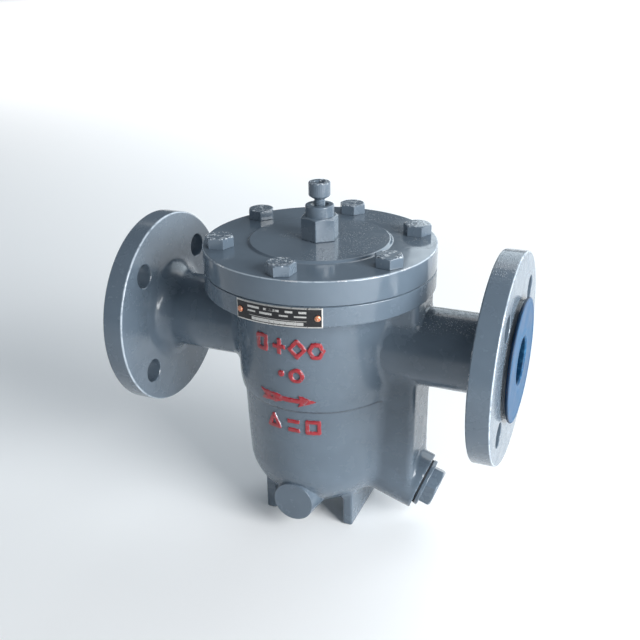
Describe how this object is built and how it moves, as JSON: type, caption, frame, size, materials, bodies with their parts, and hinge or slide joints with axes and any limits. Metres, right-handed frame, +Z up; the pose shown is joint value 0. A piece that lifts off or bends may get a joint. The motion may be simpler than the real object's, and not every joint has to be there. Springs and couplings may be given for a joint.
{
  "type": "steam trap",
  "caption": "Flanged float steam trap: cast bowl with side channel, bolted round cover, screw-down air vent, float, seat and plug.",
  "frame": {"origin": "on the floor plane under the middle of the face to face length, at the height of the two feet", "axes": "+X along the pipe from inlet to outlet, +Z up, -Y the side with the nameplate and the blind boss"},
  "size_m": [0.295, 0.1681, 0.261],
  "materials": {
    "body_paint": "glossy blue-grey machine enamel over cast steel",
    "cover_paint": "glossy blue-grey machine enamel over cast steel",
    "fastener_paint": "glossy blue-grey machine enamel over cast steel",
    "plug_metal": "thin blue-grey enamel over zinc plated steel",
    "stainless": "machined stainless steel",
    "gasket_graphite": "matt graphite sheet",
    "gasket_copper": "soft annealed copper",
    "nameplate": "black anodised plate with a bare edge line",
    "rivet": "orange primer on a drive rivet",
    "cap_blue": "moulded blue polyethylene, satin"
  },
  "bodies": {
    "trap_body": {"body": "body_paint", "cover_gasket": "gasket_graphite", "cover": "cover_paint", "cover_bolt_1": "fastener_paint", "cover_bolt_2": "fastener_paint", "cover_bolt_3": "fastener_paint", "cover_bolt_4": "fastener_paint", "cover_bolt_5": "fastener_paint", "cover_bolt_6": "fastener_paint", "strainer_screen": "stainless", "vent_body": "fastener_paint", "vent_gasket": "gasket_copper", "seat": "stainless", "seat_gasket": "gasket_copper", "plug_gasket": "gasket_graphite", "seat_plug": "plug_metal", "nameplate": "nameplate", "nameplate_rivet_left": "rivet", "nameplate_rivet_right": "rivet"},
    "float": {"float_ball": "stainless"},
    "vent_ball": {"vent_ball": "stainless"},
    "vent_screw": {"vent_screw": "fastener_paint"},
    "inlet_cap": {"inlet_cap": "cap_blue"},
    "outlet_cap": {"outlet_cap": "cap_blue"}
  },
  "joints": [
    {"name": "float_rise", "type": "slide", "parent": "trap_body", "child": "float", "axis": [0, 0, 1], "range_m": [0, 0.055]},
    {"name": "vent_lift", "type": "slide", "parent": "trap_body", "child": "vent_ball", "axis": [0, 0, 1], "range_m": [0, 0.0025]},
    {"name": "vent_turn", "type": "hinge", "parent": "vent_ball", "child": "vent_screw", "pos_m": [-0.0015, 0, 0.25], "axis": [0, 0, 1], "range_deg": [0, 720]},
    {"name": "inlet_cap_off", "type": "slide", "parent": "trap_body", "child": "inlet_cap", "axis": [-1, 0, 0], "range_m": [0, 0.04]},
    {"name": "outlet_cap_off", "type": "slide", "parent": "trap_body", "child": "outlet_cap", "axis": [1, 0, 0], "range_m": [0, 0.04]}
  ],
  "couplings": [
    {"joint": "vent_turn", "follows": "vent_lift", "rad_per_m": 5026.5}
  ]
}
